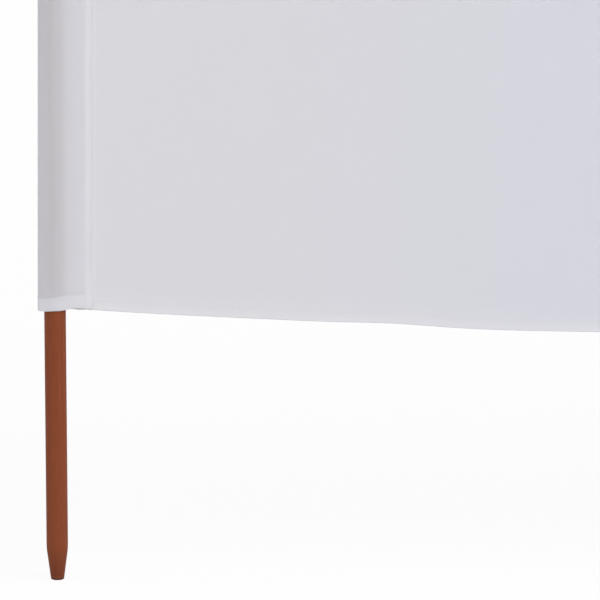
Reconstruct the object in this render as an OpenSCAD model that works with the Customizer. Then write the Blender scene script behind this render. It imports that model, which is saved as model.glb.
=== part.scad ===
// Beach windbreak: bays of cloth hung between pointed wooden poles that are pushed into sand.
// Each pole stands in a cloth pocket that is open at the bottom and sewn shut at the top.
// Origin at the blunt end of the middle pole, +X along the row, +Z up, the cloth bellies to +Y.

/* [Row] */
// Number of bays of cloth
bays = 6; // [2:2:6]
// Distance between the middles of neighbouring poles
bay_pitch = 1330; // [1000:10:1500]

/* [Pole] */
// Diameter of a pole
pole_d = 24; // [20:1:30]
// Length of pole that shows below the cloth
spike_l = 308; // [200:4:452]
// Length of the tapered point
point_l = 36; // [24:1:60]
// Diameter of the blunt end of the point
point_d = 14.5; // [8:0.5:16]
// Rounding of the edge round the blunt end
point_edge_r = 1.6; // [0.5:0.1:2.5]
// Rounding of the shoulder where the taper begins
shoulder_r = 80; // [10:5:120]
// Rounding of the edge round the top of a pole
pole_top_r = 2; // [0.5:0.5:4]

/* [Cloth] */
// Height of the cloth at a pole
cloth_h = 800; // [600:10:1200]
// Thickness of one layer of cloth
cloth_t = 0.8; // [0.5:0.1:1.2]
// Depth of the folded hem along the top and bottom edges
hem_h = 13; // [8:1:25]
// How far the cloth sags halfway between two poles
sag = 31; // [5:1:60]
// How far the cloth bellies back halfway between two poles
belly = 30; // [5:1:80]

/* [Pole pocket] */
// Width of a pole pocket, from fold to seam or from seam to seam
pocket_w = 62; // [54:1:90]
// How far the fold of an end pocket lies outside its pole
fold_w = 7; // [5:0.5:12]
// Radius of that fold
fold_r = 2.5; // [1.6:0.1:4]
// Width of the flat sewn strip along a seam
seam_w = 6; // [3:0.5:10]
// Gap between a pole and the cloth round it
pocket_play = 0.3; // [0.2:0.05:0.6]
// Height of the closed crown, from the top of a pole to the top edge of the cloth
crown_h = 35; // [28:1:60]

/* [Hidden] */
cloth_colour = [0.84, 0.84, 0.87];
wood_colour = [0.51, 0.28, 0.18];

// Poles and pockets are counted from the left end of the row
poles = bays + 1;
origin_pole = floor(bays / 2) + 1;

pole_r = pole_d / 2;
point_r = point_d / 2;
pole_l = spike_l + cloth_h - crown_h;
mouth_z = spike_l;
cloth_top_z = spike_l + cloth_h;
crown_hem_z = cloth_top_z - hem_h;

// A hem is the cloth folded double
hem_layers = 2;
hem_t = hem_layers * cloth_t;

// Distance from a pole's middle to its pocket's seam
end_seam_x = pocket_w - pole_r - fold_w;
mid_seam_x = pocket_w / 2;

// Flats along a bay, along an arc, and round a pole
bay_steps = 16;
arc_steps = 6;
pole_sides = 96;

// Cutting bodies run past what they cut by this much
past = 5;

function numbered(name, count) = [for (i = [1:count]) str(name, "_", i)];

function pole_x(i) = (i - origin_pole) * bay_pitch;
function is_end(i) = i == 1 || i == poles;
function seam_x(i) = is_end(i) ? end_seam_x : mid_seam_x;
function unit(v) = v / norm(v);

// Points along an arc from angle a to angle b
function arc(centre, r, a, b) =
    [for (k = [0:arc_steps]) let (t = a + (b - a) * k / arc_steps) centre + r * [cos(t), sin(t)]];

// Points that round off a corner of an outline with radius r
function fillet(before, corner, after, r) =
    let (
        u = unit(before - corner),
        v = unit(after - corner),
        half = acos(u * v) / 2,
        centre = corner + unit(u + v) * r / sin(half),
        first = corner + u * r / tan(half) - centre,
        last = corner + v * r / tan(half) - centre,
        start = atan2(first[1], first[0]),
        turn = atan2(first[0] * last[1] - first[1] * last[0], first * last)
    )
    arc(centre, r, start, start + turn);

// A turned pole: blunt tip, tapered point, soft shoulder, plain shaft and eased top edge
module pole() {
    tip_middle = [0, 0];
    tip_edge = [point_r, 0];
    shoulder = [pole_r, point_l];
    top_edge = [pole_r, pole_l];
    top_middle = [0, pole_l];
    color(wood_colour)
        rotate_extrude($fn = pole_sides)
            polygon(concat(
                [tip_middle],
                fillet(tip_middle, tip_edge, shoulder, point_edge_r),
                fillet(tip_edge, shoulder, top_edge, shoulder_r),
                fillet(shoulder, top_edge, top_middle, pole_top_r),
                [top_middle]
            ));
}

// Angle at which a line from a point outside a circle of radius r touches its far upper side
function touch_angle(point, r) = atan2(point[1], point[0]) + acos(r / norm(point));

// One seam side of a pocket's outline: the flat sewn strip, up to where the cloth meets the pole.
// With no layers it is the outline of the hollow, which ends in a point where the two layers meet.
function seam_side(x, layers) =
    let (strip_y = layers * cloth_t)
    layers > 0 ? [[x, strip_y], [x - seam_w, strip_y]] : [[x - seam_w, 0]];

function cloth_r(layers) = pole_r + pocket_play + layers * cloth_t;
function inner_end(points) = points[len(points) - 1];

// Upper half of an end pocket's outline, from its seam over the pole and round its fold
function end_pocket_half(layers) =
    let (
        r = cloth_r(layers),
        fold = fold_r + (layers - 1) * cloth_t,
        fold_x = pole_r + fold_w - fold_r,
        strip = seam_side(end_seam_x, layers),
        fold_touch = 180 - acos((r - fold) / fold_x)
    )
    concat(
        strip,
        arc([0, 0], r, touch_angle(inner_end(strip), r), fold_touch),
        arc([-fold_x, 0], fold, fold_touch, 180)
    );

// Upper half of a middle pocket's outline, from seam to seam over the pole
function mid_pocket_half(layers) =
    let (
        r = cloth_r(layers),
        strip = seam_side(mid_seam_x, layers),
        touch = touch_angle(inner_end(strip), r),
        last = len(strip) - 1
    )
    concat(
        strip,
        arc([0, 0], r, touch, 180 - touch),
        [for (k = [last:-1:0]) [-strip[k][0], strip[k][1]]]
    );

// An outline and its mirror image below the X axis, as one loop
function both_halves(half) =
    concat(half, [for (k = [len(half) - 1:-1:0]) if (half[k][1] > 0) [half[k][0], -half[k][1]]]);

module pocket_slice(at_end, layers, low, high) {
    half = at_end ? end_pocket_half(layers) : mid_pocket_half(layers);
    translate([0, 0, low])
        linear_extrude(high - low)
            polygon(both_halves(half));
}

// Wedge that draws the cloth in above the pole's top, from the round of the pole to the top hem
module crown_wedge(layers) {
    r = cloth_r(layers);
    closed_y = layers * cloth_t;
    slope = (crown_hem_z - pole_l) / (r - closed_y);
    wide_y = r + past;
    right = [
        [wide_y, mouth_z - 2 * past],
        [wide_y, pole_l - past * slope],
        [closed_y, crown_hem_z]
    ];
    top = layers > 0 ? [[closed_y, cloth_top_z + past], [-closed_y, cloth_top_z + past]] : [];
    left = [for (k = [2:-1:0]) if (layers > 0 || k < 2) [-right[k][0], right[k][1]]];
    rotate([90, 0, 90])
        linear_extrude(4 * pocket_w, center = true)
            polygon(concat(right, top, left));
}

// A pocket of cloth round a pole, with a hem round its open mouth and a sewn hem across its top
module pole_pocket(at_end) {
    color(cloth_colour)
        difference() {
            union() {
                intersection() {
                    pocket_slice(at_end, 1, mouth_z, cloth_top_z);
                    crown_wedge(1);
                }
                pocket_slice(at_end, hem_layers, mouth_z, mouth_z + hem_h);
                intersection() {
                    pocket_slice(at_end, hem_layers, crown_hem_z, cloth_top_z);
                    cube([4 * pocket_w, 2 * hem_t, 4 * cloth_top_z], center = true);
                }
            }
            intersection() {
                pocket_slice(at_end, 0, mouth_z - past, cloth_top_z);
                crown_wedge(0);
            }
        }
}

// Places along a bay from -0.5 to 0.5, and a bow that is 1 halfway along it and 0 at its ends
places = [for (k = [0:bay_steps]) k / bay_steps - 0.5];
function bow(u) = 1 - 4 * u * u;
function back_again(list) = [for (k = [len(list) - 1:-1:0]) list[k]];

// Upright sheet of one thickness that bellies back along a bay of width w
module bellied_sheet(w, t) {
    front = [for (u = places) [w * u, belly * bow(u) - t / 2]];
    back = [for (u = places) [w * u, belly * bow(u) + t / 2]];
    translate([0, 0, -sag - past])
        linear_extrude(cloth_h + sag + 2 * past)
            polygon(concat(front, back_again(back)));
}

// Block whose lower and upper faces hang in the same sagging curve
module sagging_block(w, low, high) {
    lower = [for (u = places) [w * u, low - sag * bow(u)]];
    upper = [for (u = places) [w * u, high - sag * bow(u)]];
    rotate([90, 0, 0])
        linear_extrude(2 * (belly + past), center = true)
            polygon(concat(lower, back_again(upper)));
}

module cloth_strip(w, t, low, high) {
    intersection() {
        bellied_sheet(w, t);
        sagging_block(w, low, high);
    }
}

// One bay of cloth between two pocket seams, with a hem along its top and bottom edges
module cloth_panel(i) {
    left = pole_x(i) + seam_x(i);
    right = pole_x(i + 1) - seam_x(i + 1);
    w = right - left;
    color(cloth_colour)
        translate([(left + right) / 2, 0, mouth_z]) {
            cloth_strip(w, cloth_t, 0, cloth_h);
            cloth_strip(w, hem_t, 0, hem_h);
            cloth_strip(w, hem_t, cloth_h - hem_h, cloth_h);
        }
}

for (i = [1:poles]) {
    translate([pole_x(i), 0, 0])
            pole();
    translate([pole_x(i), 0, 0])
            mirror([i == poles ? 1 : 0, 0, 0])
                pole_pocket(is_end(i));
}
for (i = [1:bays])
    cloth_panel(i);
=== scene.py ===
# %% [markdown]
# # A beach windbreak
#
# The real object is a row of white cloth bays hung between wooden poles. Each pole stands in a
# pocket of cloth, and its pointed foot goes into the sand. The photograph shows the first pole's
# foot, its pocket and one corner of the first bay.
#
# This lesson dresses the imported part. Every size is read from the frame, every new piece is a
# surface worked out with numpy, and cloth, thread and wood then get their finish.

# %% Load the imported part
import math

import bpy
import numpy as np
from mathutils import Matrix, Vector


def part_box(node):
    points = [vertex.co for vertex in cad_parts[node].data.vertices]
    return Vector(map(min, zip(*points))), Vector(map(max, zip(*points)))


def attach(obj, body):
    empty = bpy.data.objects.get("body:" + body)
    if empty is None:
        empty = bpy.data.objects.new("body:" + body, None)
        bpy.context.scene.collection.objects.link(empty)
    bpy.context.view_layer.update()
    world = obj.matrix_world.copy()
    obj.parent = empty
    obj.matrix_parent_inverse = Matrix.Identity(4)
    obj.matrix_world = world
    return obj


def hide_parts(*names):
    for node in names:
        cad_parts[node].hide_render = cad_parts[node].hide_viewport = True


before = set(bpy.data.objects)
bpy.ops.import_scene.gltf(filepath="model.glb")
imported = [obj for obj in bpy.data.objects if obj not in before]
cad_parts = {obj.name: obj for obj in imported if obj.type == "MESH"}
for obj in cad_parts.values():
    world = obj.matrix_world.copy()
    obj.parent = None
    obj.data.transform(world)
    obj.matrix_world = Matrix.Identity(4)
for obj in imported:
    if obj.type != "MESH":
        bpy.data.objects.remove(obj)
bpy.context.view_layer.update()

# %% [markdown]
# ## Sizes of the row
#
# The frame already knows where everything stands, so nothing is typed in twice. A pole's box gives
# its middle, its radius and its top. A pocket's box gives the height of its mouth and of the
# cloth's top edge. A bay's box gives where its two seams are and how far it sags and bellies.

# %% Sizes of the row
MM = 0.001
bays = sum(name.startswith("cloth_panel_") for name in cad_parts)
poles = bays + 1

pole_boxes = [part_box(f"pole_{n}") for n in range(1, poles + 1)]
bay_boxes = [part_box(f"cloth_panel_{n}") for n in range(1, bays + 1)]
pocket_low, pocket_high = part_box("pole_pocket_1")

pole_x = [(low.x + high.x) / 2 for low, high in pole_boxes]
pole_r = (pole_boxes[0][1].x - pole_boxes[0][0].x) / 2
pole_top = pole_boxes[0][1].z
mouth_z, cloth_top = pocket_low.z, pocket_high.z
cloth_h = cloth_top - mouth_z
bay_left = [low.x for low, high in bay_boxes]
bay_right = [high.x for low, high in bay_boxes]

SOLID_HEM_T = 1.6 * MM
sag = mouth_z - bay_boxes[0][0].z
belly = bay_boxes[0][1].y - SOLID_HEM_T / 2
print(f"{bays} bays, pole radius {pole_r:.4f}, mouth at {mouth_z:.3f}, sag {sag:.3f}, belly {belly:.3f}")

# %% [markdown]
# ## Camera
#
# The photograph was taken from a long way off, looking slightly down: the foot of the pole and the
# mouth of the pocket are seen as shallow ovals. A camera could be placed by eye, but four numbers
# say where it has to be: how many pixels one metre takes at the pole, which pixel the pole's tip
# falls on, how far away the camera is and how far it looks down. The eye is found by walking back
# from the tip along the camera's own three directions.

# %% Camera
PHOTO_SIDE = 600
SENSOR = 36.0
PIXELS_PER_METRE = 895.8
TIP_PIXEL = (57.6, 578.7)
CAMERA_AWAY = 6.0
LOOK_DOWN = math.radians(12)

cam_right = np.array([1.0, 0.0, 0.0])
cam_forward = np.array([0.0, math.cos(LOOK_DOWN), -math.sin(LOOK_DOWN)])
cam_up = np.array([0.0, math.sin(LOOK_DOWN), math.cos(LOOK_DOWN)])
focal_pixels = PIXELS_PER_METRE * CAMERA_AWAY

first_tip = np.array([pole_x[0], 0.0, 0.0])
aside = (TIP_PIXEL[0] - PHOTO_SIDE / 2) / PIXELS_PER_METRE
above = (PHOTO_SIDE / 2 - TIP_PIXEL[1]) / PIXELS_PER_METRE
eye = first_tip - aside * cam_right - above * cam_up - CAMERA_AWAY * cam_forward

camera = bpy.data.cameras.new("photo_camera")
camera.sensor_width = SENSOR
camera.lens = SENSOR * focal_pixels / PHOTO_SIDE
camera.clip_end = 500
camera_stand = bpy.data.objects.new("photo_camera", camera)
camera_stand.location = eye
camera_stand.rotation_euler = (math.pi / 2 - LOOK_DOWN, 0, 0)
bpy.context.scene.collection.objects.link(camera_stand)
bpy.context.scene.camera = camera_stand


def seen_at(points):
    """Pixel of each point: its distance to the right and below the camera's axis, over its depth."""
    away = np.asarray(points) - eye
    depth = away @ cam_forward
    across = PHOTO_SIDE / 2 + focal_pixels * (away @ cam_right) / depth
    down = PHOTO_SIDE / 2 - focal_pixels * (away @ cam_up) / depth
    return np.stack([across, down], axis=-1)


def x_at_column(column, y, z):
    """The x at which a point at depth y and height z is seen in a given pixel column."""
    depth = (y - eye[1]) * cam_forward[1] + (z - eye[2]) * cam_forward[2]
    return eye[0] + (column - PHOTO_SIDE / 2) / focal_pixels * depth


print(f"lens {camera.lens:.0f} mm, pole's mouth seen at", seen_at([pole_x[0], -pole_r, mouth_z]))

# %% [markdown]
# ## Helpers for surfaces
#
# A sewn edge, a turned pole and a pocket's outline are all straight runs with rounded corners, so
# one function makes them: each inner corner becomes an arc that touches both of its runs. It works
# on many outlines at once, one for each height. A second function joins a grid of points into
# four-sided faces, and a third puts arrays into a Blender mesh. The small ones beside them fade a
# number in and out and measure a line.

# %% Helpers for surfaces


def unit(vectors):
    """Each vector divided by its own length."""
    return vectors / np.maximum(np.linalg.norm(vectors, axis=-1, keepdims=True), 1e-12)


def smooth(low, high, value):
    """0 up to low, 1 from high on, and the S-shaped cubic 3t^2 - 2t^3 between them."""
    t = np.clip((value - low) / (high - low), 0, 1)
    return t * t * (3 - 2 * t)


def bell(value, middle, wide):
    """e to the power of minus the square of a value's distance from the middle over the width."""
    return np.exp(-(((value - middle) / wide) ** 2))


def rounded_path(corners, radii, arc_steps, runs):
    """Points along straight runs with rounded corners.

    At a corner the arc's middle lies on the halving line, at radius over the sine of half the
    angle, and the arc begins and ends at radius over its tangent from the corner. runs gives, for
    each straight run, the places between its ends at which points are added.
    """
    corners = np.asarray(corners, float)
    share = np.linspace(0, 1, arc_steps + 1).reshape(-1, *[1] * (corners.ndim - 1))
    parts, reached = [corners[:1]], corners[0]
    for k in range(1, len(corners)):
        end = corners[k]
        arc = None
        if k < len(corners) - 1:
            radius = np.asarray(radii[k - 1], float)[..., None]
            back, on = unit(corners[k - 1] - end), unit(corners[k + 1] - end)
            half = np.arccos(np.clip((back * on).sum(-1, keepdims=True), -1, 1)) / 2
            middle = end + unit(back + on) * radius / np.sin(half)
            first = end + back * radius / np.tan(half) - middle
            last = end + on * radius / np.tan(half) - middle
            start = np.arctan2(first[..., 1:], first[..., :1])
            cross = first[..., :1] * last[..., 1:] - first[..., 1:] * last[..., :1]
            turn = np.arctan2(cross, (first * last).sum(-1, keepdims=True))
            angle = start + turn * share
            arc = middle + radius * np.concatenate([np.cos(angle), np.sin(angle)], axis=-1)
            end = arc[0]
        places = np.asarray(runs[k - 1], float).reshape(-1, *[1] * (corners.ndim - 1))
        parts.append(reached + (end - reached) * places)
        parts.append(arc if arc is not None else end[None])
        reached = arc[-1] if arc is not None else end
    return np.concatenate(parts)


def between(steps):
    """Evenly spaced places strictly between 0 and 1."""
    return np.linspace(0, 1, steps + 1)[1:-1]


def along(points):
    """Length run through up to each point of a line."""
    step = np.linalg.norm(np.diff(points, axis=0), axis=-1)
    return np.concatenate([[0.0], np.cumsum(step)])


def grid_faces(rows, columns, closed=False):
    """The four corners of every face of a grid, turning anticlockwise seen from outside."""
    row, column = np.meshgrid(
        np.arange(rows - 1), np.arange(columns if closed else columns - 1), indexing="ij"
    )
    here = row * columns + column
    beside = row * columns + (column + 1) % columns
    return np.stack([here, beside, beside + columns, here + columns], axis=-1).reshape(-1, 4)


def new_piece(name, points, faces, uv=None, values=None):
    """A smooth mesh from arrays, with a UV map and named numbers for its points."""
    mesh = bpy.data.meshes.new(name)
    mesh.from_pydata(np.asarray(points).reshape(-1, 3), [], [list(face) for face in faces])
    mesh.polygons.foreach_set("use_smooth", np.ones(len(mesh.polygons), bool))
    if uv is not None:
        corner = np.zeros(len(mesh.loops), np.int32)
        mesh.loops.foreach_get("vertex_index", corner)
        mesh.uv_layers.new(name="weave").data.foreach_set("uv", uv.reshape(-1, 2)[corner].ravel())
    for key, numbers in (values or {}).items():
        mesh.attributes.new(key, "FLOAT", "POINT").data.foreach_set("value", np.ravel(numbers))
    mesh.update()
    piece = bpy.data.objects.new(name, mesh)
    bpy.context.scene.collection.objects.link(piece)
    return piece


print("helpers ready")

# %% [markdown]
# ## Poles
#
# Each pole is a turned stick: a plain shaft, a taper at the foot and a blunt end with an eased
# edge. A cylinder with a cone under it would show a hard ring at the shoulder. Here the outline is
# drawn once as rounded runs from the foot's middle to the top's middle, and carried round the axis.
# The two middles are single points, so both ends are closed. One number on each point says how close
# it is to a thin paler line just above the foot's edge, and another how far down the point it is,
# where the cut grain has soaked up more of the stain; at the foot's very end that second number also
# paints shade on the edge that faces down.

# %% Poles
TIP_R = 7.25 * MM
TIP_EDGE_R = 1.0 * MM
POINT_L = 36 * MM
SHOULDER_R = 80 * MM
TOP_EDGE_R = 2 * MM
POLE_SIDES = 56
# Height and width of a thin paler line just above the foot's edge
PALE_LINE_Z, PALE_LINE_WIDE = 2.95 * MM, 0.45 * MM
SOAKED_Z, POINT_SOAKED = 46 * MM, 0.47
# Below these heights the foot's very end is painted darker: painted shade where it faces down
SHADE_END_LOW, SHADE_END_HIGH = 2.2 * MM, 2.7 * MM

# Places up the taper, close together across the worn line
FOOT_ROWS = [0.03, 0.044, 0.054, 0.0655, 0.077, 0.09, 0.107]


def pole_outline():
    """Radius and height along a pole, from the middle of its foot to the middle of its top."""
    corners = [(0, 0), (TIP_R, 0), (pole_r, POINT_L), (pole_r, pole_top), (0, pole_top)]
    point = np.concatenate([FOOT_ROWS, between(8)])
    runs = [between(4), point, between(20), between(4)]
    return rounded_path(corners, [TIP_EDGE_R, SHOULDER_R, TOP_EDGE_R], 8, runs)


def turned_pole(number):
    """The outline carried round the axis: x and y are the radius times cosine and sine."""
    outline = pole_outline()
    radius, height = outline[1:-1, 0], outline[1:-1, 1]
    turn = np.linspace(0, 2 * np.pi, POLE_SIDES, endpoint=False)
    ring = np.stack(np.broadcast_arrays(
        pole_x[number] + radius[:, None] * np.cos(turn),
        radius[:, None] * np.sin(turn),
        height[:, None],
    ), axis=-1).reshape(-1, 3)
    ends = np.array([[pole_x[number], 0, 0], [pole_x[number], 0, pole_top]])
    side = grid_faces(len(radius), POLE_SIDES, closed=True)
    here = np.arange(POLE_SIDES)
    beside = (here + 1) % POLE_SIDES
    top = (len(radius) - 1) * POLE_SIDES
    foot_fan = np.stack([np.full(POLE_SIDES, len(ring)), beside, here], axis=-1)
    top_fan = np.stack([np.full(POLE_SIDES, len(ring) + 1), top + here, top + beside], axis=-1)
    points = np.concatenate([ring, ends])
    pale_line = bell(points[:, 2], PALE_LINE_Z, PALE_LINE_WIDE)
    in_point = 1 - smooth(0, SOAKED_Z, points[:, 2])
    # Painted shade: the down-facing end of the foot takes the dark stain colour
    painted_shade_at_end = 1 - smooth(SHADE_END_LOW, SHADE_END_HIGH, points[:, 2])
    soaked_and_painted_shade = POINT_SOAKED * in_point + (1 - POINT_SOAKED) * painted_shade_at_end
    faces = side.tolist() + foot_fan.tolist() + top_fan.tolist()
    values = {"pale_line": pale_line, "soaked_and_painted_shade": soaked_and_painted_shade}
    return new_piece(f"wooden_pole_{number + 1}", points, faces, values=values)


wooden_poles = [turned_pole(n) for n in range(poles)]
print(len(wooden_poles), "poles of", len(wooden_poles[0].data.polygons), "faces")

# %% [markdown]
# ## A hemmed edge
#
# The cloth's long edges are folded twice and sewn down, so a hem is three layers thick. One could
# thicken the edge and call it a hem, but light shines through this cloth, and the hem looks lighter
# just because it has three layers. So the fold is really made: one line starts at the tucked-in raw
# edge, turns down the inside, goes round the bottom, up the outside and round the top hem in the
# same way. Each point has a height up the cloth and a depth behind the outside layer.

# %% A hemmed edge
CLOTH_T = 0.3 * MM
LAYER = 0.42 * MM
TURN_R = 0.49 * LAYER
RAW_EDGE = 1.5 * MM
STITCH_IN = 1.6 * MM
BAY_HEM, BAY_ROWS = 12.3 * MM, 38
HEM_STEP, HEM_SEEN, HEM_LEAD = 8 * MM, 2 * MM, 1.2 * MM
PINCH, PINCH_W = 0.1, 1.0 * MM

# Heights of the rows of points within a bay's hem and past its sewn line, then the gap to the rest
HEM_ROWS = np.array([1.1, 2.2, 4.6, 7, 9, 10.4]) * MM
PAST_SEWN_ROWS = np.array([0, 0.9, 2.0, 3.4, 5.4, 8.6, 14.0]) * MM
ROW_GAP = 12 * MM


def body_heights(hem, steps, more):
    """Heights of the outside layer's points, close together at both hems, as places along it."""
    low = np.concatenate([HEM_ROWS * hem / BAY_HEM, hem - STITCH_IN + PAST_SEWN_ROWS])
    middle = np.linspace(low[-1] + ROW_GAP, cloth_h - low[-1] - ROW_GAP, steps)
    return np.sort(np.concatenate([low, middle, cloth_h - low, more])) / cloth_h


def hemmed_line(hem, steps, more=()):
    """Height and depth along the cut cloth: tucked edge, bottom hem, outside, top hem, tucked edge."""
    corners = [
        (RAW_EDGE, LAYER), (hem, LAYER), (hem, 2 * LAYER), (0, 2 * LAYER), (0, 0),
        (cloth_h, 0), (cloth_h, 2 * LAYER), (cloth_h - hem, 2 * LAYER),
        (cloth_h - hem, LAYER), (cloth_h - RAW_EDGE, LAYER),
    ]
    radii = TURN_R * np.array([1, 1, 2, 2, 2, 2, 1, 1])
    inside = between(5)
    none = np.zeros(0)
    runs = [between(3), none, inside, none, body_heights(hem, steps, more),
            none, inside, none, between(3)]
    return rounded_path(corners, radii, 3, runs).T


def into_cloth(height):
    """Distance from the nearer of the cloth's bottom and top edges."""
    return np.minimum(height, cloth_h - height)


def hem_zone(height, hem, fade):
    """1 within either hem, falling to 0 over a given height past its sewn edge."""
    return 1 - smooth(hem - HEM_LEAD, hem + fade, into_cloth(height))


def sewn_pinch(height, hem):
    """1 on the sewn line of either hem, falling off as a bell curve a millimetre wide."""
    return bell(into_cloth(height), hem - STITCH_IN, PINCH_W)


print("points across the cut cloth:", hemmed_line(BAY_HEM, BAY_ROWS).shape[1])

# %% [markdown]
# ## Bays of cloth
#
# A bay hangs between two seams. Its weight and the wind give it a sag and a belly, both shaped like
# a bow: nothing at the seams, most in the middle. On top of that lie long soft waves, and shallow
# folds that fan out from the upper corners, where the pockets carry the weight. A cloth simulation
# could find such folds, but it would not find the ones in the photograph, so they are written as
# sums of waves. The first bay's lower left corner stays calm, and its hem rides up a little where
# the photograph shows it.

# %% Bays of cloth
TUCK = 4.5 * MM
SEAM_ALLOWANCE, ALLOWANCE_FADE, SEAM_DOUBLED = 3.5 * MM, 2 * MM, 0.45
HEM_TOP_DOUBLED, EDGE_SINGLE = 0.67, 1.6 * MM
WAVE, SHORT_WAVE, SHORT_WAVE_LOW = 4.0 * MM, 0.6, 0.4
LONG_LEAN, SHORT_LEAN, GROWN_FROM, GROWN_FULL = 0.9, -1.4, 0.15, 0.9
FOLD, FOLD_REACH, FOLD_COUNT = 3.0 * MM, 300 * MM, 9
HEM_FLUTTER, FLUTTER_FADE = 2.0 * MM, 110 * MM
HEM_LIFT, LIFT_FADE = 3 * MM, 300 * MM
chance = np.random.default_rng(11)
bay_phase = chance.uniform(0, 2 * np.pi, (bays, 8))
bay_lift = chance.uniform(-1, 1, (bays, 2)) * HEM_LIFT

# Columns of points: their distance from a seam, the gap to the rest, and how many there are
BESIDE_SEAM = np.array([-TUCK, -1.5 * MM, 0, 1 * MM, 2 * MM, SEAM_ALLOWANCE, 6 * MM])
COLUMN_GAP, BAY_COLUMNS = 12 * MM, 128

# Where the first bay's hem rides up: place along the bay, width of the bell curve, height
FIRST_LIFTS = [(0.18, 0.11, 2.4 * MM), (0.265, 0.05, 2.5 * MM)]
FIRST_SAG_MORE = 1.75 * MM
FIRST_CORNER_DROP, FIRST_CORNER_W = 1.2 * MM, 0.08

# How calm that corner is, and where along and up the bay the waves come back
FIRST_CALM, CALM_PLACE, CALM_HEIGHT = 0.75, (0.38, 0.62), (300 * MM, 560 * MM)

# Pixel columns of the first pocket's fold and seam, and how far up they are followed
FOLD_COLUMN, SEAM_COLUMN = 37.9, 92.8
FOLLOWED_UP, FOLLOWED_END = 360 * MM, 640 * MM


def photo_share(z):
    """1 over the height that the photograph shows, fading to 0 above it."""
    return 1 - smooth(mouth_z + FOLLOWED_UP, mouth_z + FOLLOWED_END, z)


def first_seam_x(z):
    """The first pocket's seam: upright in the picture, so it leans a little beside the pole."""
    return bay_left[0] + (x_at_column(SEAM_COLUMN, 0, z) - bay_left[0]) * photo_share(z)


def corner_folds(x_in, below, phase):
    """Folds from an upper corner: a sine of the angle, growing and fading with the distance."""
    far = np.hypot(x_in, below) / FOLD_REACH
    angle = np.arctan2(below, np.maximum(x_in, 1e-6))
    fan = np.sin(2 * angle) ** 2
    return FOLD * fan * far * np.exp(1 - far) * np.sin(FOLD_COUNT * angle + phase)


def bay_points(bay, x, height, depth):
    """Points of one bay: the bow of sag and belly, plus waves, folds and the hem's flutter.

    A long and a short sine make the waves, the short one growing upwards. The hem's lift and its
    flutter fade upwards as exponentials. The first bay's seam leans by the cube of the share left.
    """
    left, right = bay_left[bay], bay_right[bay]
    place = (x - left) / (right - left)
    inside = np.clip(place, 0, 1)
    bow = 4 * inside * (1 - inside)
    phase = bay_phase[bay]
    below = np.maximum(cloth_h - height, 0)

    calm = np.ones_like(place * height)
    lift = np.zeros_like(calm)
    if bay == 0:
        calm = calm - FIRST_CALM * (1 - smooth(*CALM_PLACE, place)) * (1 - smooth(*CALM_HEIGHT, height))
        for at, wide, rise in FIRST_LIFTS:
            lift = lift + rise * bell(place, at, wide)
        lift = lift - FIRST_CORNER_DROP * np.exp(-place / FIRST_CORNER_W) - FIRST_SAG_MORE * bow
    else:
        lift = lift + bay_lift[bay, 0] * bow * np.sin(3 * np.pi * inside + phase[7])
    lift = lift * np.exp(-height / LIFT_FADE)

    up = height / cloth_h
    long_wave = np.sin(2 * np.pi * place + phase[0] + LONG_LEAN * up)
    short_wave = np.sin(5 * np.pi * place + phase[1] + SHORT_LEAN * up)
    grown = SHORT_WAVE_LOW + (1 - SHORT_WAVE_LOW) * smooth(GROWN_FROM, GROWN_FULL, up)
    waves = bow * WAVE * (long_wave + SHORT_WAVE * grown * short_wave)
    folds = corner_folds(x - left, below, phase[2]) + corner_folds(right - x, below, phase[3])
    flutter = bow * HEM_FLUTTER * np.exp(-height / FLUTTER_FADE) * np.sin(6 * np.pi * place + phase[4])
    y = belly * bow + calm * (waves + folds + flutter)

    layers = depth - LAYER * hem_zone(height, BAY_HEM, HEM_STEP)
    layers = layers * (1 - PINCH * sewn_pinch(height, BAY_HEM))
    z = mouth_z + height - sag * bow + lift
    shifted = x + np.zeros_like(z)
    if bay == 0:
        shifted = shifted + (first_seam_x(z) - left) * (1 - inside) ** 3
    return np.stack(np.broadcast_arrays(shifted, y + layers, z), axis=-1)


def bay_cloth(bay):
    """One bay from tuck to tuck and from tucked edge to tucked edge, with its cut size as UV."""
    height, depth = hemmed_line(BAY_HEM, BAY_ROWS)
    left, right = bay_left[bay], bay_right[bay]
    inner = np.linspace(left + COLUMN_GAP, right - COLUMN_GAP, BAY_COLUMNS - 2 * len(BESIDE_SEAM))
    x = np.concatenate([left + BESIDE_SEAM, inner, right - BESIDE_SEAM[::-1]])
    points = bay_points(bay, x[None, :], height[:, None], depth[:, None])
    run = along(np.stack([height, depth], axis=-1))
    uv = np.stack(np.broadcast_arrays(x[None, :] - x[0], run[:, None]), axis=-1)
    from_seam = np.minimum(x - left, right - x)
    allowance = SEAM_DOUBLED * (1 - smooth(SEAM_ALLOWANCE - ALLOWANCE_FADE, SEAM_ALLOWANCE, from_seam))
    up_hem = np.clip(into_cloth(height) / BAY_HEM, 0, 1)
    hem_doubled = hem_zone(height, BAY_HEM, HEM_SEEN) * (1 + (HEM_TOP_DOUBLED - 1) * up_hem)
    hem_doubled = hem_doubled * smooth(0, EDGE_SINGLE, up_hem * BAY_HEM)
    values = {
        "sewn": np.broadcast_to(sewn_pinch(height, BAY_HEM)[:, None], points.shape[:2]),
        "doubled": np.maximum(hem_doubled[:, None], allowance[None, :]),
        "from_edge": np.ones(points.shape[:2]),
        "pulled_and_shade_mask": np.zeros(points.shape[:2]),
    }
    piece = new_piece(f"bay_cloth_{bay + 1}", points, grid_faces(len(height), BAY_COLUMNS), uv, values)
    piece["cut"] = [float(x[-1] - x[0]), float(run[-1])]
    return piece


bay_cloths = [bay_cloth(n) for n in range(bays)]
edge_x = bay_left[0] + np.linspace(0, 0.4, 5) * (bay_right[0] - bay_left[0])
first_edge = seen_at(bay_points(0, edge_x, 0 * edge_x, 0 * edge_x))
print("first hem's edge seen at", np.round(first_edge, 1).tolist())

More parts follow.
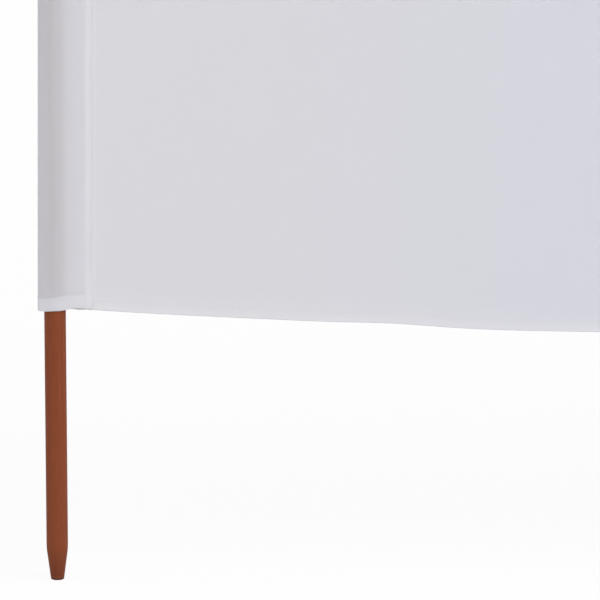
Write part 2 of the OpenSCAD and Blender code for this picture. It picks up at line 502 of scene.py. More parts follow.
# %% [markdown]
# ## Pockets
#
# A pocket is cloth laid round the pole and sewn flat beside it. At the row's ends the cloth folds
# back on itself, and a middle pole has a seam on either side. The outline is straight runs again: a
# flat sewn strip, a run that just touches the pole, the round of the pole, and the fold or the next
# strip. The corner over the pole is where the two touching runs would meet, and its radius is the
# pole's. Above the pole that radius shrinks, so the crown closes to a flat sewn edge. The outline
# is worked out for every height at once, because the first pocket leans a little beside its pole.

# %% Outline of a pocket
POCKET_HEM, POCKET_STEP = 14.5 * MM, 20 * MM
PLAY = 0.25 * MM
STRIP_W = 6 * MM
STRIP_GAP, STRIP_GAP_HEM = 0.36 * MM, 0.76 * MM
CROWN_FROM, CROWN_ROOM = 0.5 * MM, 0.25 * MM
FOLD_R = 1.2 * MM
FOLD_FORWARD, FOLD_FADE = 8.0 * MM, 120 * MM
SOFT_R, SOFT_SHARE, SOFT_LEAST = 14 * MM, 0.9, 2 * MM
BEND_SHARE = 0.4
ARC_STEPS, END_RUNS, MIDDLE_RUNS = 8, (4, 9, 5, 5, 9, 4), (4, 8, 8, 4)
cloth_r = pole_r + PLAY + CLOTH_T / 2
crown_r = STRIP_GAP_HEM + CROWN_ROOM
end_seam = bay_left[0] - pole_x[0]
middle_seam = bay_left[1] - pole_x[1]
end_fold = pole_x[0] - pocket_low.x


def round_r(z):
    """Radius that the cloth lies on: the pole's, then shrinking to a flat edge above its top."""
    shut = smooth(pole_top + CROWN_FROM, cloth_top - POCKET_HEM, z)
    return cloth_r + (crown_r - cloth_r) * shut


def soft_r(radius):
    """Rounding where a strip turns off to the pole: fixed, or near the radius where the crown closes."""
    return np.minimum(SOFT_R, SOFT_SHARE * radius + SOFT_LEAST)


def touch(point, radius):
    """Angle at which a line from an outside point touches a circle about the pole, on its far side.

    It is the point's own angle plus the arc cosine of the radius over the point's distance.
    """
    half = np.arccos(np.clip(radius / np.linalg.norm(point, axis=-1), -1, 1))
    return np.arctan2(point[..., 1], point[..., 0]) + half


def off_pole(far, angle):
    """Points at a distance from the pole's middle, times the cosine and sine of their angle."""
    return far[:, None] * np.stack([np.cos(angle), np.sin(angle)], axis=-1)


def over_pole(near, far, radius):
    """Where the two runs that touch the pole would meet: radius over the cosine of half the angle."""
    return off_pole(radius / np.cos((far - near) / 2), (near + far) / 2)


def strip_ends(z, seam):
    """Both ends of the flat sewn strip, which lies close to the bay and further off at its hems."""
    gap = STRIP_GAP + (STRIP_GAP_HEM - STRIP_GAP) * hem_zone(z - mouth_z, POCKET_HEM, POCKET_STEP)
    return np.stack([seam, gap], -1), np.stack([seam - STRIP_W, gap], -1)


def mirrored(points, x=1, y=1):
    """Points with their x or y turned to the other side where that factor is -1."""
    return points * np.array([x, y])


def end_outline(z, seam, fold):
    """Round an end pole at every height: back strip, back, fold, front and front strip.

    Two lines that touch both the pole and the small round of the fold meet in a tip, at the small
    circle's distance times the radius over the difference of the two radii. From the tip they touch
    the pole at the tip's own angle plus or minus the arc cosine of the radius over its distance.
    """
    radius = round_r(z)
    bend = np.minimum(FOLD_R, BEND_SHARE * radius)
    outer, inner = strip_ends(z, seam)
    near = touch(inner, radius)
    forward = FOLD_FORWARD * (1 - smooth(pole_top - FOLD_FADE, cloth_top - POCKET_HEM, z))
    tip_angle = np.arctan2(forward, fold) + np.pi
    tip_far = (np.hypot(forward, fold) - bend) * radius / (radius - bend)
    tip = off_pole(tip_far, tip_angle)
    apart = np.arccos(radius / tip_far)
    back = over_pole(near, tip_angle - apart, radius)
    front = over_pole(tip_angle + apart, 2 * np.pi - near, radius)
    corners = [outer, inner, back, tip, front, mirrored(inner, y=-1), mirrored(outer, y=-1)]
    radii = [soft_r(radius), radius, bend, radius, soft_r(radius)]
    return rounded_path(np.stack(corners), radii, ARC_STEPS, [between(steps) for steps in END_RUNS])


def middle_outline(z, seam, side):
    """Across a middle pole on one side, from strip to strip; side is -1 for the front."""
    radius = round_r(z)
    outer, inner = strip_ends(z, seam)
    near = touch(inner, radius)
    crest = over_pole(near, np.pi - near, radius)
    corners = [outer, inner, crest, mirrored(inner, x=-1), mirrored(outer, x=-1)]
    radii = [soft_r(radius), radius, soft_r(radius)]
    runs = [between(steps) for steps in MIDDLE_RUNS]
    path = rounded_path(np.stack(corners), radii, ARC_STEPS, runs)
    return path if side > 0 else mirrored(path[::-1], y=-1)


def outward(path):
    """Sideways direction out of an outline, a quarter turn from the way it runs."""
    way = unit(np.gradient(path, axis=0))
    return np.stack([way[..., 1], -way[..., 0]], axis=-1)


print(f"end seam {end_seam:.4f}, middle seam {middle_seam:.4f}, fold {end_fold:.4f} from the pole's middle")

# %% [markdown]
# ## Making the pockets
#
# The outline is now carried up the hemmed line, as the bays were: the height picks the outline, and
# the depth moves a layer inwards along the outline's own sideways direction. The mouth is not cut
# quite straight on the first pocket. It hangs lowest at the fold and rises past the pole, as the
# photograph shows, and its front layer is a touch shorter than its back.

# %% Points of a pocket
POCKET_ROWS = 34
POLE_TOP_ROWS = np.array([-3, 0, 2, 4, 6]) * MM

# How far the first mouth's edge and its hem's top stand off their level: distance from the pole's
# middle, then offset
FRONT_MOUTH = np.array([
    [-20, 0.6], [-16, -0.4], [-9, -0.7], [0, 0.4], [6, 0.2], [10.5, 0.5], [14, 1.4],
    [20, 1.9], [28, 1.6], [38, 0.2], [43, -0.9],
]) * MM
BACK_MOUTH = np.array([
    [-20, -0.1], [0, 0.2], [12, 0.2], [16, -0.6], [20, -1.6], [25, -1.8],
    [30, -1.5], [38, -0.6], [43, -1.0],
]) * MM
HEM_TOP = np.array([
    [-20, -1.8], [-16, -0.8], [-10, 0.1], [-5, 0.3], [4, 1.1], [13, 2.4],
    [24, 2.9], [33, 3.8], [43, 4.0],
]) * MM
KNOT_BLUR, KNOT_STEPS = 2.5 * MM, 200
FRONT_TO_BACK = 1 * MM
HEM_TOP_FADE = 50 * MM
FOLD_FLARE, FLARE_FROM = 4.5 * MM, 30 * MM
FOLD_ROOM = 3 * MM


def bell_smoothed(x, knots):
    """Offsets between knots, each averaged with a bell curve a few millimetres wide."""
    fine = np.linspace(knots[0, 0], knots[-1, 0], KNOT_STEPS)
    level = np.interp(fine, knots[:, 0], knots[:, 1])
    weight = bell(x[..., None], fine, KNOT_BLUR)
    return (weight * level).sum(-1) / weight.sum(-1)


def mouth_offset(path, height):
    """Rise of the first pocket's edge: from the mouth's knots to the hem's, then fading as a bell."""
    x, y = path[..., 0], path[..., 1]
    front = 1 - smooth(-FRONT_TO_BACK, FRONT_TO_BACK, y)
    edge = front * bell_smoothed(x, FRONT_MOUTH) + (1 - front) * bell_smoothed(x, BACK_MOUTH)
    up = np.clip(height / POCKET_HEM, 0, 1)
    past = bell(np.maximum(height, POCKET_HEM), POCKET_HEM, HEM_TOP_FADE)
    return edge * (1 - up) + bell_smoothed(x, HEM_TOP) * up * past


def end_seam_and_fold(z, first):
    """Distance of seam and fold from an end pole's middle; the first pair is upright in the picture."""
    flare = FOLD_FLARE * smooth(pole_top - FLARE_FROM, cloth_top - POCKET_HEM, z)
    seam, fold = np.full_like(z, end_seam), np.full_like(z, end_fold)
    if first:
        share = photo_share(z)
        seen = pole_x[0] - x_at_column(FOLD_COLUMN, -FOLD_FORWARD, z)
        seam = first_seam_x(z) - pole_x[0]
        fold = fold + (np.maximum(seen, pole_r + FOLD_ROOM) - fold) * share
    hem = 2 * LAYER * hem_zone(z - mouth_z, POCKET_HEM, POCKET_STEP)
    return seam, fold + flare - hem


def pocket_sheets(number):
    """The outlines of one pocket at each height of the hemmed line, in the pole's own coordinates."""
    height, depth = hemmed_line(POCKET_HEM, POCKET_ROWS, pole_top - mouth_z + POLE_TOP_ROWS)
    z = mouth_z + height
    if number in (0, poles - 1):
        seam, fold = end_seam_and_fold(z, number == 0)
        path = end_outline(z, seam, fold)
        if number:
            path = mirrored(path[::-1], x=-1)
        return height, depth, [path]
    seam = np.full_like(z, middle_seam)
    return height, depth, [middle_outline(z, seam, side) for side in (-1, 1)]


def pocket_points(number, path, height, depth):
    """Points of a pocket: its outline moved out by the hem's bulge and in by each layer's depth."""
    bulge = 2 * LAYER * hem_zone(height, POCKET_HEM, POCKET_STEP)
    off = (bulge - depth) * (1 - PINCH * sewn_pinch(height, POCKET_HEM))
    flat = path + outward(path) * off[None, :, None]
    z = np.broadcast_to(mouth_z + height, flat.shape[:2])
    if number == 0:
        z = z + mouth_offset(path, height[None, :])
    return np.stack([pole_x[number] + flat[..., 0], flat[..., 1], z], axis=-1)


print("points round an end pocket:", len(pocket_sheets(0)[2][0]))

# %% [markdown]
# ## Numbers for the finish
#
# Each point of the cloth also gets four numbers, which the finish reads later: how close it is to a
# sewn line, how much the cloth lies double there, how far it is from the sewn edge, and how tightly
# that edge is pulled, which also sets where a line of painted shade darkens the colour beside it.
# They could be painted by hand, but all four follow from where the point is.

# %% Pockets
POCKET_HEM_SEEN = 0.8 * MM
SEAM_PINCH_W = 1.2 * MM
# Where a seam counts as tight; the finish also paints a line of shade beside its edge there
PULLED_FROM, PULLED_FULL = 40 * MM, 190 * MM

# How double the cloth counts: the hem at the fold, over the pole and more beside it, the strip and
# its slack ends, the two layers beside the pole, and the tight cloth over the pole's left side
HEM_DOUBLED_FOLD, HEM_DOUBLED_POLE, HEM_DOUBLED_FLAT = 0.53, 0.36, 0.19
STRIP_DOUBLED, STRIP_SLACK, PAIR_DOUBLED, TIGHT_DOUBLED = 0.86, 0.82, 0.2, 0.14

# Where these begin and end: the strip's about its inner edge, the others in pole radii
STRIP_BEFORE, STRIP_PAST = 1 * MM, 5 * MM
PAIR_FROM, PAIR_FULL = 0.5, 1.5
TIGHT_AT, TIGHT_W = -0.54, 0.3
HEM_FOLD_TO, HEM_FLAT_FROM, HEM_FLAT_FULL = -1.2, 1.0, 2.4


def pocket_doubled(from_pole, from_edge, in_hem, pulled_and_shade_mask):
    """How double the cloth counts at each row and column: the largest of its hem, pair and strip.

    The hem's share falls from the fold to the pole, rises again beside it, and stays above the
    strip's. The pair's share rises past the pole. The strip's share ends beside the strip, and is
    smaller where the seam is slack.
    """
    radii = from_pole / pole_r
    strip = STRIP_DOUBLED * (1 - smooth(STRIP_W - STRIP_BEFORE, STRIP_W + STRIP_PAST, from_edge))
    pair = PAIR_DOUBLED * smooth(PAIR_FROM, PAIR_FULL, radii)
    tight = TIGHT_DOUBLED * bell(radii, TIGHT_AT, TIGHT_W)
    over = smooth(HEM_FOLD_TO, HEM_FLAT_FROM, radii)
    hem = HEM_DOUBLED_FOLD + (HEM_DOUBLED_POLE - HEM_DOUBLED_FOLD) * over
    hem = hem + HEM_DOUBLED_FLAT * smooth(HEM_FLAT_FROM, HEM_FLAT_FULL, radii)
    hem = np.maximum(hem, STRIP_SLACK * strip + HEM_DOUBLED_FLAT)
    slack = STRIP_SLACK + (1 - STRIP_SLACK) * pulled_and_shade_mask
    return np.maximum(hem * in_hem, np.maximum(np.maximum(pair, tight), strip * slack))


def pocket_cloth(number):
    """One pocket, as one sheet at the row's ends and as a front and a back sheet in between."""
    height, depth, paths = pocket_sheets(number)
    run = along(np.stack([height, depth], axis=-1))
    hem_sewn = sewn_pinch(height, POCKET_HEM)[:, None]
    in_hem = hem_zone(height, POCKET_HEM, POCKET_HEM_SEEN)[:, None]
    pulled_and_shade_mask = smooth(PULLED_FROM, PULLED_FULL, into_cloth(height))[:, None]
    points, faces, uv, start, cut = [], [], [], 0, 0.0
    values = {"sewn": [], "doubled": [], "from_edge": [], "pulled_and_shade_mask": []}
    for path in paths:
        sheet = pocket_points(number, path, height, depth).transpose(1, 0, 2)
        rows, columns = sheet.shape[:2]
        across = along(path[:, rows // 2])
        from_edge = np.minimum(across, across[-1] - across)
        from_pole = path[:, rows // 2, 0] * (-1 if number == poles - 1 else 1)
        if len(paths) > 1:
            from_pole = np.abs(from_pole)
        seam_sewn = bell(from_edge, STITCH_IN, SEAM_PINCH_W)
        doubled = pocket_doubled(from_pole, from_edge, in_hem, pulled_and_shade_mask)
        made = (np.maximum(hem_sewn, seam_sewn), doubled, from_edge, pulled_and_shade_mask)
        for table, numbers in zip(values.values(), made):
            table.append(np.broadcast_to(numbers, (rows, columns)).ravel())
        points.append(sheet.reshape(-1, 3))
        faces.append(grid_faces(rows, columns) + start)
        uv.append(np.stack(np.broadcast_arrays(across + cut, run[:, None]), -1).reshape(-1, 2))
        start += rows * columns
        cut += across[-1]
    piece = new_piece(
        f"pole_pocket_cloth_{number + 1}", np.concatenate(points), np.concatenate(faces),
        np.concatenate(uv), {key: np.concatenate(table) for key, table in values.items()},
    )
    piece["cut"] = [float(cut), float(run[-1])]
    return piece


pocket_cloths = [pocket_cloth(n) for n in range(poles)]
first_points = np.zeros(3 * len(pocket_cloths[0].data.vertices), np.float32)
pocket_cloths[0].data.vertices.foreach_get("co", first_points)
first_x, first_y, first_z = first_points.reshape(-1, 3).T
from_middle = np.hypot(first_x - pole_x[0], first_y)[first_z < pole_top]
clear = from_middle.min() - CLOTH_T / 2 - pole_r
print("first and second pocket cut to", [round(piece["cut"][0], 3) for piece in pocket_cloths[:2]])
print(f"the first pocket is clear of its pole by {clear / MM:.2f} mm")

# %% [markdown]
# ## Thickness
#
# So far each cloth is a single surface. Solidify gives it the thickness of thin polyester, half to
# either side, so every layer of a fold is a thin closed skin with air between it and the next.

# %% Thickness
for piece in bay_cloths + pocket_cloths:
    skin = piece.modifiers.new("cloth thickness", "SOLIDIFY")
    skin.thickness = CLOTH_T
    skin.offset = 0
    skin.use_rim = True
print("thickness", CLOTH_T * 1000, "mm on", len(bay_cloths) + len(pocket_cloths), "cloths")

# %% [markdown]
# ## Stitches
#
# Sewn lines run along every hem and seam. A dashed line in the material would vanish up close, so
# each stitch is a small spindle of thread: three rings of three points, thick in the middle and
# drawn in at both ends, half sunk in the cloth. All the stitches of one cloth are one mesh, made
# from arrays of middles, directions and outward directions.

# %% Stitches
STITCH_PITCH = 3.6 * MM
STITCH_L = 2.7 * MM
THREAD_R = 0.2 * MM
THREAD_SIDES = 3
AIM, OUTSIDE = 0.1 * MM, 0.05 * LAYER
SEWN_FROM_SEAM, SEWN_POINTS = 2 * MM, 400

# Place, thickness and height of a stitch's three rings
RINGS = np.array([-1.0, 0.0, 1.0]) * STITCH_L / 2
SWELL = np.array([0.4, 1.0, 0.4]) * THREAD_R
ARCH = np.array([-0.3, 0.5, -0.3]) * THREAD_R


def stitches_along(line, out):
    """Spindles along a line: at each stitch's middle, rings along the line and round its own axis."""
    run = along(line)
    middles = np.arange(STITCH_PITCH / 2, run[-1], STITCH_PITCH)

    def at(place, table):
        """Rows of a table between its own places along the line."""
        return np.stack([np.interp(place, run, table[:, k]) for k in range(3)], axis=-1)

    ahead = unit(at(middles + AIM, line) - at(middles - AIM, line))
    away = unit(at(middles, out))
    side = np.cross(away, ahead)
    turn = np.pi / 2 + np.arange(THREAD_SIDES) * 2 * np.pi / THREAD_SIDES
    points = (
        at(middles, line)[:, None, None]
        + ahead[:, None, None] * RINGS[None, :, None, None]
        + away[:, None, None] * (ARCH[:, None] + SWELL[:, None] * np.sin(turn))[None, :, :, None]
        + side[:, None, None] * (SWELL[:, None] * np.cos(turn))[None, :, :, None]
    )
    corner = np.arange(THREAD_SIDES)
    first = len(RINGS) * THREAD_SIDES * np.arange(len(middles))[:, None, None]
    tubes = (grid_faces(len(RINGS), THREAD_SIDES, closed=True) + first).reshape(-1, 4)
    last_ring = (len(RINGS) - 1) * THREAD_SIDES
    caps = (np.stack([corner[::-1], last_ring + corner]) + first).reshape(-1, THREAD_SIDES)
    return points.reshape(-1, 3), tubes, caps


def sewn_piece(name, lines):
    """Every sewn line of one cloth, joined into one mesh."""
    made = [stitches_along(line, out) for line, out in lines]
    start = np.cumsum([0] + [len(points) for points, tubes, caps in made[:-1]])
    faces = []
    for (points, tubes, caps), first in zip(made, start):
        faces += (tubes + first).tolist() + (caps + first).tolist()
    return new_piece(name, np.concatenate([points for points, tubes, caps in made]), faces)


def bay_stitch_lines(bay):
    """The sewn line of both hems, on the front and on the back of one bay."""
    x = np.linspace(bay_left[bay] + SEWN_FROM_SEAM, bay_right[bay] - SEWN_FROM_SEAM, SEWN_POINTS)
    lines = []
    for height in (BAY_HEM - STITCH_IN, cloth_h - BAY_HEM + STITCH_IN):
        for depth, way in ((0.0, -1.0), (2 * LAYER, 1.0)):
            line = bay_points(bay, x, np.full_like(x, height), np.full_like(x, depth))
            line[:, 1] += way * CLOTH_T / 2
            lines.append((line, np.tile([0.0, way, 0.0], (len(x), 1))))
    return lines


def pocket_stitch_lines(number):
    """The sewn line round the mouth, across the crown and up each seam, inside and out."""
    height, depth, paths = pocket_sheets(number)
    outside = np.flatnonzero(depth < OUTSIDE)
    lines = []
    for path in paths:
        sheet = pocket_points(number, path, height, depth)
        side = outward(path)
        out = np.concatenate([side, np.zeros_like(side[..., :1])], axis=-1)
        skin = sheet + out * CLOTH_T / 2
        for level in (POCKET_HEM - STITCH_IN, cloth_h - POCKET_HEM + STITCH_IN):
            row = outside[np.argmin(np.abs(height[outside] - level))]
            lines.append((skin[:, row], out[:, row]))
        across = along(path[:, len(height) // 2])
        for end in (0, -1):
            from_end = np.abs(across - across[end])
            column = np.argmin(np.abs(from_end - STITCH_IN))
            lines.append((skin[column, outside], out[column, outside]))
    return lines


bay_stitches = [sewn_piece(f"bay_stitches_{n + 1}", bay_stitch_lines(n)) for n in range(bays)]
pocket_stitches = [sewn_piece(f"pocket_stitches_{n + 1}", pocket_stitch_lines(n)) for n in range(poles)]
stitch_points = sum(len(piece.data.vertices) for piece in bay_stitches + pocket_stitches)
print(stitch_points // (len(RINGS) * THREAD_SIDES), "stitches")

# %% [markdown]
# ## Cloth finish
#
# The cloth is thin white polyester. It does not look white: more than half of the light that falls
# on it goes through, and only where it lies double does it send back more. So the finish mixes a
# rough surface with a Translucent one, and the brown pole shows darkly through its pocket. The
# hems and seam strips would turn lighter by themselves too if light were followed through every
# layer, but a render stops after a few bounces, so a number on the points lets less light through
# there. A plain weave of fine threads, slubs and puckers along the sewn lines are bumps that follow
# the cut cloth's own UV map, in metres. Where a seam is pulled tight, a thin line of painted shade
# darkens the colour beside its edge. The white turns slowly cooler and back along the row, and where
# it is cooler it is also a little lighter: partly the cloth's own tone, partly painted light that
# evens out the shading of the first bay's belly.

# %% Cloth finish
CLOTH_WHITE = (0.932, 0.931, 0.960)
# The cooler white is also a little lighter: painted light over the first bay's belly shade
CLOTH_COOL_LIGHTER = (0.935, 0.935, 0.987)
THREAD_DARK, THREAD_LIGHT = (0.80, 0.80, 0.82, 1), (0.88, 0.88, 0.90, 1)
LIGHT_THROUGH = 0.58
LIGHT_THROUGH_DOUBLED = 0.25
DRIFT_FROM, DRIFT_PER_METRE = 0.12, 2.84
THREAD_PITCH = 0.55 * MM
SLUB_LONG, SLUB_THIN, SLUB_TONE = 40.0, 1800.0, 0.03
PUCKERS_PER_METRE = 160.0
# Painted shade: a thin darker line beside a tight seam's edge, how far in, how wide, how dark
SHADE_LINE_IN, SHADE_LINE_W, SHADE_LINE_DARK = 0.9 * MM, 0.55 * MM, 0.05


class Nodes:
    """A short way to add nodes to one material or world and join them."""

    def __init__(self, owner):
        """Start with a new material or world, with no nodes in it."""
        owner.use_nodes = True
        self.owner, self.tree = owner, owner.node_tree
        self.tree.nodes.clear()

    def add(self, kind, settings=None, **inputs):
        """A node; an input is named by its socket, or i and its number, and is joined or set."""
        node = self.tree.nodes.new(kind)
        for key, value in (settings or {}).items():
            setattr(node, key, value)
        for key, value in inputs.items():
            socket = node.inputs[int(key[1:]) if key[1:].isdigit() else key.replace("_", " ")]
            if isinstance(value, bpy.types.NodeSocket):
                self.tree.links.new(value, socket)
            else:
                socket.default_value = value
        return node

    def math(self, operation, first, second=0.0):
        """One sum on one or two numbers."""
        return self.add("ShaderNodeMath", {"operation": operation}, i0=first, i1=second).outputs[0]

    def scaled(self, value, factor, offset, clamp=False):
        """Value times factor plus offset, kept from 0 to 1 where clamp is set."""
        settings = {"operation": "MULTIPLY_ADD", "use_clamp": clamp}
        return self.add("ShaderNodeMath", settings, i0=value, i1=factor, i2=offset).outputs[0]

    def attribute(self, name):
        """A number that the mesh holds for each of its points."""
        return self.add("ShaderNodeAttribute", {"attribute_name": name}).outputs["Fac"]

    def noise(self, vector, scale, detail=2.0):
        """Soft noise from 0 to 1."""
        return self.add("ShaderNodeTexNoise", Vector=vector, Scale=scale, Detail=detail).outputs["Fac"]

    def stretched(self, vector, scale):
        """Coordinates multiplied by a scale of their own in each direction."""
        return self.add("ShaderNodeMapping", Vector=vector, Scale=scale).outputs["Vector"]

    def blend(self, share, first, second, kind="MIX"):
        """Two colours mixed, or multiplied, by a share."""
        settings = {"data_type": "RGBA", "blend_type": kind}
        return self.add("ShaderNodeMix", settings, i0=share, i6=first, i7=second).outputs[2]

    def bump(self, height, strength, distance, **under):
        """Normal of the surface raised by a height, on top of the bump under it."""
        settings = {"Height": height, "Strength": strength, "Distance": distance, **under}
        return self.add("ShaderNodeBump", **settings).outputs["Normal"]

    def finish(self, shader, output="ShaderNodeOutputMaterial"):
        """The material or world, with its surface joined to a shader."""
        self.add(output, Surface=shader.outputs[0])
        return self.owner


def cloth_material():
    """Rough white cloth mixed with light from behind, with weave, slubs and puckers as bumps.

    The weave is the product of two sines of the UV map. The line of painted shade is a bell curve
    about its distance from the sewn edge, times how tight the seam is, and darkens the colour.
    """
    n = Nodes(bpy.data.materials.new("cloth"))
    uv = n.add("ShaderNodeUVMap", {"uv_map": "weave"}).outputs["UV"]
    split = n.add("ShaderNodeSeparateXYZ", Vector=uv)
    turns = 2 * math.pi / (2 * THREAD_PITCH)
    warp = n.math("SINE", n.math("MULTIPLY", split.outputs["X"], turns))
    weft = n.math("SINE", n.math("MULTIPLY", split.outputs["Y"], turns))
    weave = n.math("MULTIPLY", warp, weft)
    slub_across = n.noise(n.stretched(uv, (SLUB_LONG, SLUB_THIN, 1.0)), scale=1.0)
    slub_up = n.noise(n.stretched(uv, (SLUB_THIN, SLUB_LONG, 1.0)), scale=1.0)
    slubs = n.math("ADD", slub_across, slub_up)
    pucker = n.math("MULTIPLY", n.noise(uv, PUCKERS_PER_METRE, detail=1.0), n.attribute("sewn"))
    normal = n.bump(pucker, strength=0.25, distance=0.40 * MM)
    normal = n.bump(slubs, strength=0.10, distance=0.20 * MM, Normal=normal)
    normal = n.bump(weave, strength=0.18, distance=0.12 * MM, Normal=normal)

    place = n.add("ShaderNodeTexCoord").outputs["Object"]
    at_x = n.add("ShaderNodeSeparateXYZ", Vector=place).outputs["X"]
    # A tint drifting cooler along the row, lighter where cooler: painted light against the belly's shade
    turn = n.math("MULTIPLY", n.math("SUBTRACT", at_x, bay_left[0] + DRIFT_FROM), DRIFT_PER_METRE)
    drift_and_painted_light = n.math("POWER", n.math("SINE", turn), 2.0)
    tint_and_painted_light = n.blend(drift_and_painted_light, (*CLOTH_WHITE, 1), (*CLOTH_COOL_LIGHTER, 1))
    # Painted shade: the colour darkens in a thin line beside the edge of a tight seam
    off_line = n.math("DIVIDE", n.math("SUBTRACT", n.attribute("from_edge"), SHADE_LINE_IN), SHADE_LINE_W)
    shade_line = n.math("EXPONENT", n.math("MULTIPLY", n.math("MULTIPLY", off_line, off_line), -1.0))
    shade = n.math("MULTIPLY", n.math("MULTIPLY", shade_line, n.attribute("pulled_and_shade_mask")), SHADE_LINE_DARK)
    tone_and_shade = n.math("SUBTRACT", n.scaled(slubs, factor=SLUB_TONE, offset=0.96), shade)
    colour = n.blend(1.0, tint_and_painted_light, tone_and_shade, "MULTIPLY")

    surface = n.add(
        "ShaderNodeBsdfPrincipled", Base_Color=colour, Roughness=0.82, Normal=normal,
        Specular_IOR_Level=0.2, Sheen_Weight=0.06, Sheen_Roughness=0.4,
    )
    through = n.add("ShaderNodeBsdfTranslucent", Color=colour, Normal=normal)
    share = n.scaled(n.attribute("doubled"), LIGHT_THROUGH_DOUBLED - LIGHT_THROUGH, LIGHT_THROUGH)
    return n.finish(n.add("ShaderNodeMixShader", i0=share, i1=surface.outputs[0], i2=through.outputs[0]))


def thread_material():
    """Twisted white thread: fine slanted bands as a bump, and a slight gloss."""
    n = Nodes(bpy.data.materials.new("thread"))
    place = n.add("ShaderNodeTexCoord").outputs["Object"]
    slanted = {"bands_direction": "DIAGONAL"}
    twist = n.add("ShaderNodeTexWave", slanted, Vector=place, Scale=900.0).outputs["Fac"]
    tone = n.blend(n.noise(place, scale=700.0), THREAD_DARK, THREAD_LIGHT)
    normal = n.bump(twist, strength=0.3, distance=0.1 * MM)
    return n.finish(n.add("ShaderNodeBsdfPrincipled", Base_Color=tone, Roughness=0.5, Normal=normal))


cloth_finish, thread_finish = cloth_material(), thread_material()
for piece in bay_cloths + pocket_cloths:
    piece.data.materials.append(cloth_finish)
for piece in bay_stitches + pocket_stitches:
    piece.data.materials.append(thread_finish)
print("cloth and thread finished")

# %% [markdown]
# ## Wood finish
#
# The poles are softwood with a red-brown stain under a thin satin varnish. The grain runs along the
# pole, so a noise that is stretched upwards gives broad streaks, a finer one gives pores, and both
# change the colour only a little. The cut grain of the point has taken up more stain, the foot's very
# end is painted darker as shade, and a thin paler line runs round the foot just above its edge.

# %% Wood finish
STAIN = (0.245, 0.0600, 0.0217, 1)
STAIN_DARK_AND_SHADE = (0.094, 0.0230, 0.0092, 1)
STAIN_PALE_LINE = (0.240, 0.082, 0.048, 1)
STREAKS, PORES = (210.0, 210.0, 5.0), (1500.0, 1500.0, 45.0)
STREAK_SHARE = 0.34


def wood_material():
    """Stained wood: streaks and pores stretched along the pole, with a paler line at the foot
    and painted shade at its very end.

    What is left of the light stain is one less the grain, times one less the soak up the point
    and the painted shade at the foot's very end.
    """
    n = Nodes(bpy.data.materials.new("stained_wood"))
    place = n.add("ShaderNodeTexCoord").outputs["Object"]
    streaks = n.noise(n.stretched(place, STREAKS), scale=1.0, detail=3.0)
    pores = n.noise(n.stretched(place, PORES), scale=1.0, detail=2.0)
    broad = n.math("MULTIPLY", n.scaled(streaks, factor=1.5, offset=-0.48, clamp=True), STREAK_SHARE)
    grain = n.math("ADD", broad, n.scaled(pores, factor=0.8, offset=-0.35))
    # The soak number also carries painted shade at the foot's very end
    unsoaked_unshaded = n.math("SUBTRACT", 1.0, n.attribute("soaked_and_painted_shade"))
    light = n.math("MULTIPLY", n.math("SUBTRACT", 1.0, grain), unsoaked_unshaded)
    stain = n.blend(n.math("SUBTRACT", 1.0, light), STAIN, STAIN_DARK_AND_SHADE)
    # A paler stain in a thin patchy line just above the foot's edge
    patches = n.math("ADD", n.noise(place, scale=300.0), 0.15)
    patchy = n.math("MULTIPLY", n.attribute("pale_line"), patches)
    colour = n.blend(patchy, stain, STAIN_PALE_LINE)
    rough = n.scaled(pores, factor=0.16, offset=0.50)
    normal = n.bump(pores, strength=0.12, distance=0.3 * MM)
    return n.finish(n.add(
        "ShaderNodeBsdfPrincipled", Base_Color=colour, Roughness=rough, Normal=normal,
        Specular_IOR_Level=0.14,
    ))


wood_finish = wood_material()
for piece in wooden_poles:
    piece.data.materials.append(wood_finish)
print("wood finished")

# %% [markdown]
# ## Floor, world and lamps
#
# The photograph has a plain white ground. Brighter lamps would bleach the cloth, so the white comes
# from the floor and the world themselves: what the camera sees of them is mostly white, while they
# light the object at a plain level. The floor keeps a little of its own shading, and with it the
# row's soft shadow. Two wide suns act as soft boxes, the stronger from the right, and the back gets
# less light.

# %% Floor, world and lamps
WORLD_LEVEL = 0.28
FLOOR_COLOUR = (0.9, 0.9, 0.9, 1)
FLOOR_WHITE = 0.92
FLOOR_SIDE, FLOOR_BELOW = 300.0, 0.2 * MM


def seen_share(n):
    """1 for every ray that shows the background: straight on, in gloss or through glass.

    Light that soaks through cloth also counts as transmitted, so diffuse rays are taken out again.
    """
    ray = n.add("ShaderNodeLightPath").outputs
    clear = n.math("MAXIMUM", ray["Is Glossy Ray"], ray["Is Transmission Ray"])
    clear = n.math("SUBTRACT", clear, ray["Is Diffuse Ray"])
    return n.math("MAXIMUM", ray["Is Camera Ray"], clear)


sky = Nodes(bpy.data.worlds.new("studio"))
level = sky.add("ShaderNodeMix", i0=seen_share(sky), i2=WORLD_LEVEL, i3=1.0)
glow = sky.add("ShaderNodeBackground", Color=(1, 1, 1, 1), Strength=level.outputs[0])
bpy.context.scene.world = sky.finish(glow, "ShaderNodeOutputWorld")

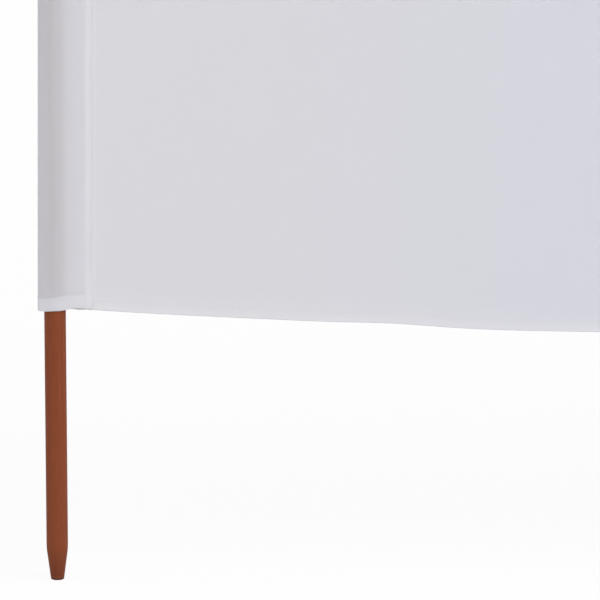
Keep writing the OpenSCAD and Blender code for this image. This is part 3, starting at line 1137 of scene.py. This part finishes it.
floor_corners = np.array([[-1, -1, 0], [1, -1, 0], [1, 1, 0], [-1, 1, 0]]) * FLOOR_SIDE / 2
floor = new_piece("floor", floor_corners - [0, 0, FLOOR_BELOW], [[0, 1, 2, 3]])
ground = Nodes(bpy.data.materials.new("pale_floor"))
matt = ground.add("ShaderNodeBsdfDiffuse", Color=FLOOR_COLOUR)
white = ground.add("ShaderNodeEmission", Strength=1.0)
part_white = ground.math("MULTIPLY", seen_share(ground), FLOOR_WHITE)
ground_mix = ground.add("ShaderNodeMixShader", i0=part_white, i1=matt.outputs[0], i2=white.outputs[0])
floor.data.materials.append(ground.finish(ground_mix))


def soft_sun(name, from_right, from_above, wide, strength, colour):
    """A sun as wide as a soft box, given by the compass angle and height it shines from, in degrees."""
    lamp = bpy.data.lights.new(name, "SUN")
    lamp.energy, lamp.angle, lamp.color = strength, math.radians(wide), colour
    stand = bpy.data.objects.new(name, lamp)
    stand.rotation_euler = (math.radians(90 - from_above), 0, math.radians(from_right))
    bpy.context.scene.collection.objects.link(stand)


soft_sun("key_box", from_right=48, from_above=50, wide=60, strength=1.95, colour=(1.0, 0.995, 0.99))
soft_sun("fill_box", from_right=-42, from_above=50, wide=70, strength=0.8, colour=(0.99, 0.995, 1.0))
bpy.context.scene.view_settings.view_transform = "Standard"
print("stage ready")

# %% [markdown]
# ## Hand the pieces over
#
# Every piece rides on the part's one body, and the CAD solid it stands for is hidden. Each cloth
# has kept the size it was cut to before it was sewn, and its stitches ride with it.

# %% Hand the pieces over
for n, piece in enumerate(wooden_poles, 1):
    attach(piece, "root")
    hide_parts(f"pole_{n}")


def hand_over_cloth(piece, thread, node):
    """One cloth with its stitches: both ride on the body, and the CAD part it stands for is hidden."""
    for part in (piece, thread):
        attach(part, "root")
    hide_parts(node)


for n, (piece, thread) in enumerate(zip(pocket_cloths, pocket_stitches), 1):
    hand_over_cloth(piece, thread, f"pole_pocket_{n}")
for n, (piece, thread) in enumerate(zip(bay_cloths, bay_stitches), 1):
    hand_over_cloth(piece, thread, f"cloth_panel_{n}")
